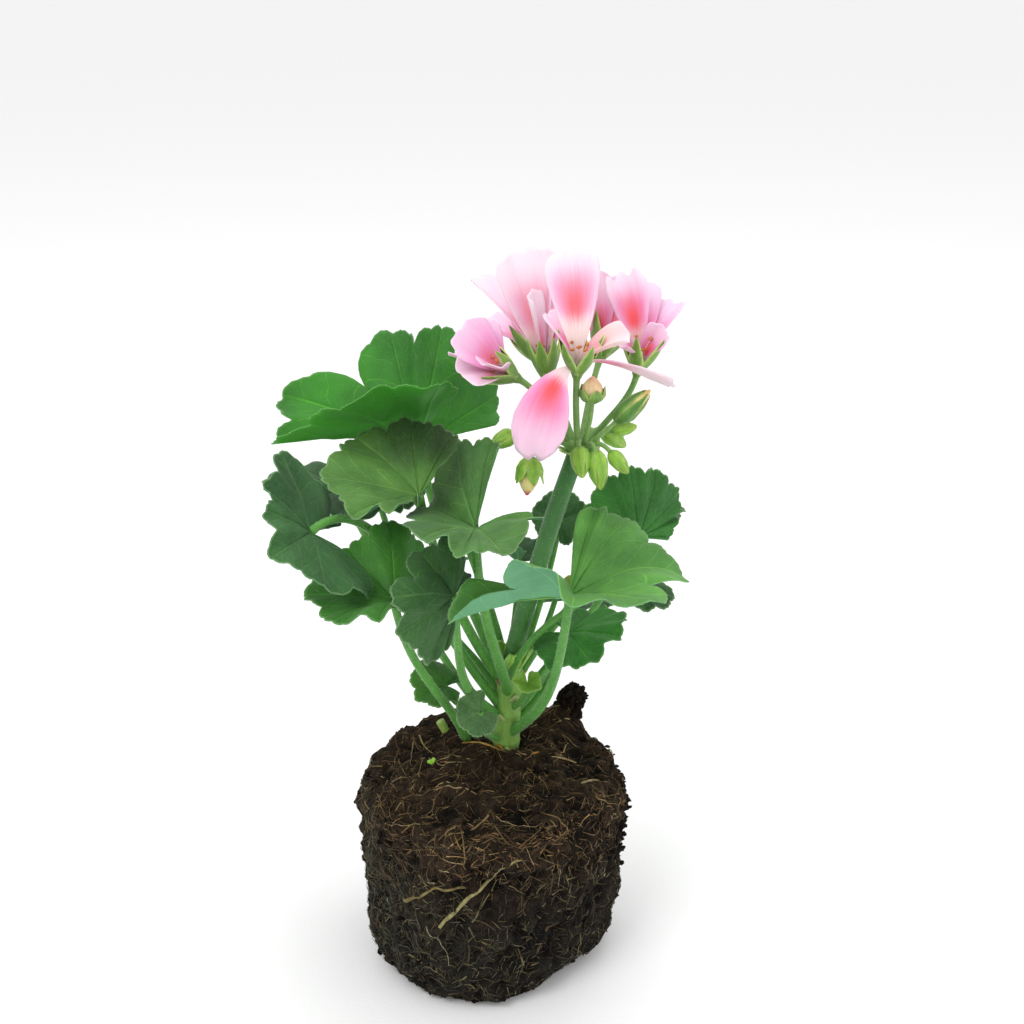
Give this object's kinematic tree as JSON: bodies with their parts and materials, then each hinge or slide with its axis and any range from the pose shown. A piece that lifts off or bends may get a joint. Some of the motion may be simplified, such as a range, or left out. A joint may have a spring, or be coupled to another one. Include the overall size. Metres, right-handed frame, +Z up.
{
  "type": "pelargonium with bare root ball",
  "caption": "Young zonal pelargonium lifted out of its pot: bare peat root ball, short stem, scalloped leaves on long petioles and one umbel of pink florets and buds.",
  "frame": {"origin": "centre of the flat base that the root ball stands on", "axes": "+Z up; -Y towards the side with the widest leaves, which the picture shows; +X to the right of that view"},
  "size_m": [0.1701, 0.1872, 0.3],
  "materials": {
    "peat": "matte, crumbly, with pale roots",
    "stem": "satin, finely hairy",
    "leaf": "matte, finely hairy",
    "flower_stalk": "satin, finely hairy",
    "petal": "matte, silky"
  },
  "bodies": {
    "root": {"root_ball": "peat", "stem": "stem", "cut_stub": "stem", "flower_truss": "flower_stalk", "floret_1": "petal", "floret_2": "petal", "floret_3": "petal", "floret_4": "petal", "floret_5": "petal", "floret_6": "petal", "leaf_01": "leaf", "leaf_02": "leaf", "leaf_03": "leaf", "leaf_04": "leaf", "leaf_05": "leaf", "leaf_06": "leaf", "leaf_07": "leaf", "leaf_08": "leaf", "leaf_09": "leaf", "leaf_10": "leaf", "leaf_11": "leaf", "leaf_12": "leaf", "leaf_13": "leaf", "leaf_14": "leaf", "leaf_15": "leaf", "leaf_16": "leaf", "leaf_17": "leaf", "leaf_18": "leaf", "leaf_19": "leaf", "leaf_20": "leaf", "leaf_21": "leaf", "leaf_22": "leaf"}
  },
  "joints": []
}
